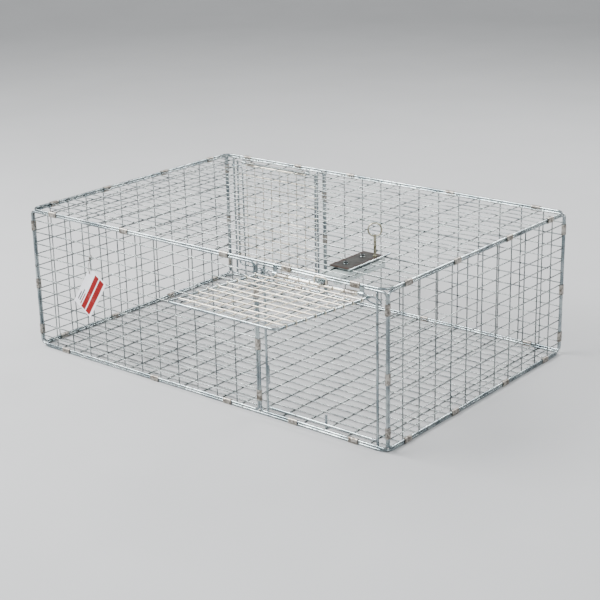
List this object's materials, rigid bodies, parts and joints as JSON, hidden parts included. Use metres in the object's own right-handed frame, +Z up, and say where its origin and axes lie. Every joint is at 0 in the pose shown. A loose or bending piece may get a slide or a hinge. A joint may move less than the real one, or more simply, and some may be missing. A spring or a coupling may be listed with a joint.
{
  "type": "live-catch cage trap",
  "caption": "Long low box of welded wire mesh in round rod frames, with a hinged wire door at opposite corners, a trigger latch on top and a hanging card tag.",
  "frame": {"origin": "middle of the footprint, on the ground", "axes": "+Z up, -Y out of the front wall, +X towards the open front doorway"},
  "size_m": [0.9168, 0.8844, 0.3721],
  "materials": {
    "zinc_rod": "bright galvanised, satin",
    "mesh_wire": "galvanised wire, satin",
    "door_wire": "galvanised wire, slightly warm",
    "clip_steel": "dull zinc, stained",
    "dark_plate": "dark brown-grey, satin",
    "yellow_zinc": "yellow passivated zinc",
    "card": "white card with red stripes"
  },
  "bodies": {
    "cage": {"floor_frame": "zinc_rod", "floor_long_wires": "mesh_wire", "floor_cross_wires": "mesh_wire", "top_frame": "zinc_rod", "top_long_wires": "mesh_wire", "top_cross_wires": "mesh_wire", "front_frame": "zinc_rod", "front_long_wires": "mesh_wire", "front_upright_wires": "mesh_wire", "rear_frame": "zinc_rod", "rear_long_wires": "mesh_wire", "rear_upright_wires": "mesh_wire", "left_frame": "zinc_rod", "left_long_wires": "mesh_wire", "left_upright_wires": "mesh_wire", "right_frame": "zinc_rod", "right_long_wires": "mesh_wire", "right_upright_wires": "mesh_wire", "front_doorway_frame": "zinc_rod", "front_guide_rods": "zinc_rod", "front_sill_bar": "zinc_rod", "front_stop_post": "zinc_rod", "rear_doorway_frame": "zinc_rod", "rear_guide_rods": "zinc_rod", "rear_sill_bar": "zinc_rod", "rear_stop_post": "zinc_rod", "front_hinge_rod": "zinc_rod", "front_hinge_hangers": "zinc_rod", "rear_hinge_rod": "zinc_rod", "rear_hinge_hangers": "zinc_rod", "rear_guard_rod": "zinc_rod", "guide_tab": "clip_steel", "top_edge_clips": "clip_steel", "floor_edge_clips": "clip_steel", "corner_clips": "clip_steel", "jamb_clips": "clip_steel", "latch_plate": "dark_plate", "latch_channel": "zinc_rod", "latch_eyelets": "zinc_rod", "latch_edge_rod": "zinc_rod", "trigger_pivot": "zinc_rod"},
    "front_door": {"front_door_frame": "zinc_rod", "front_door_hinge_bar": "zinc_rod", "front_door_rows": "door_wire", "front_door_uprights": "door_wire", "front_door_clips": "clip_steel", "front_door_bail": "door_wire"},
    "rear_door": {"rear_door_frame": "zinc_rod", "rear_door_hinge_bar": "zinc_rod", "rear_door_rows": "door_wire", "rear_door_uprights": "door_wire", "rear_door_clips": "clip_steel", "rear_door_bail": "door_wire"},
    "left_ring": {"lock_ring_left": "zinc_rod"},
    "right_ring": {"lock_ring_right": "zinc_rod"},
    "trigger": {"trigger_lever": "zinc_rod"},
    "puller": {"pull_pin": "yellow_zinc", "pull_ring": "yellow_zinc"},
    "tag": {"tag_card": "card", "tag_tie": "door_wire"}
  },
  "joints": [
    {"name": "front_door_hinge", "type": "hinge", "parent": "cage", "child": "front_door", "pos_m": [0.3073, -0.306, 0.287], "axis": [1, 0, 0], "range_deg": [0, 93.9]},
    {"name": "rear_door_hinge", "type": "hinge", "parent": "cage", "child": "rear_door", "pos_m": [-0.3073, 0.306, 0.287], "axis": [1, 0, 0], "range_deg": [0, 93.9]},
    {"name": "left_ring_rock", "type": "hinge", "parent": "cage", "child": "left_ring", "pos_m": [0.1848, -0.3082, 0.2816], "axis": [1, 0, 0], "range_deg": [-3, 1.5]},
    {"name": "right_ring_rock", "type": "hinge", "parent": "cage", "child": "right_ring", "pos_m": [0.4298, -0.3082, 0.2816], "axis": [1, 0, 0], "range_deg": [-3, 1.5]},
    {"name": "pin_lift", "type": "slide", "parent": "cage", "child": "puller", "axis": [0, 0, 1], "range_m": [0, 0.005]},
    {"name": "trigger_turn", "type": "hinge", "parent": "cage", "child": "trigger", "pos_m": [0.3245, -0.272, 0.29], "axis": [1, 0, 0], "range_deg": [0, 2.9]},
    {"name": "tag_swing", "type": "hinge", "parent": "cage", "child": "tag", "pos_m": [-0.2819, -0.30356, 0.2286], "axis": [0, 1, 0], "range_deg": [-25, 25]}
  ],
  "couplings": [
    {"joint": "trigger_turn", "follows": "pin_lift", "rad_per_m": 9.89}
  ]
}
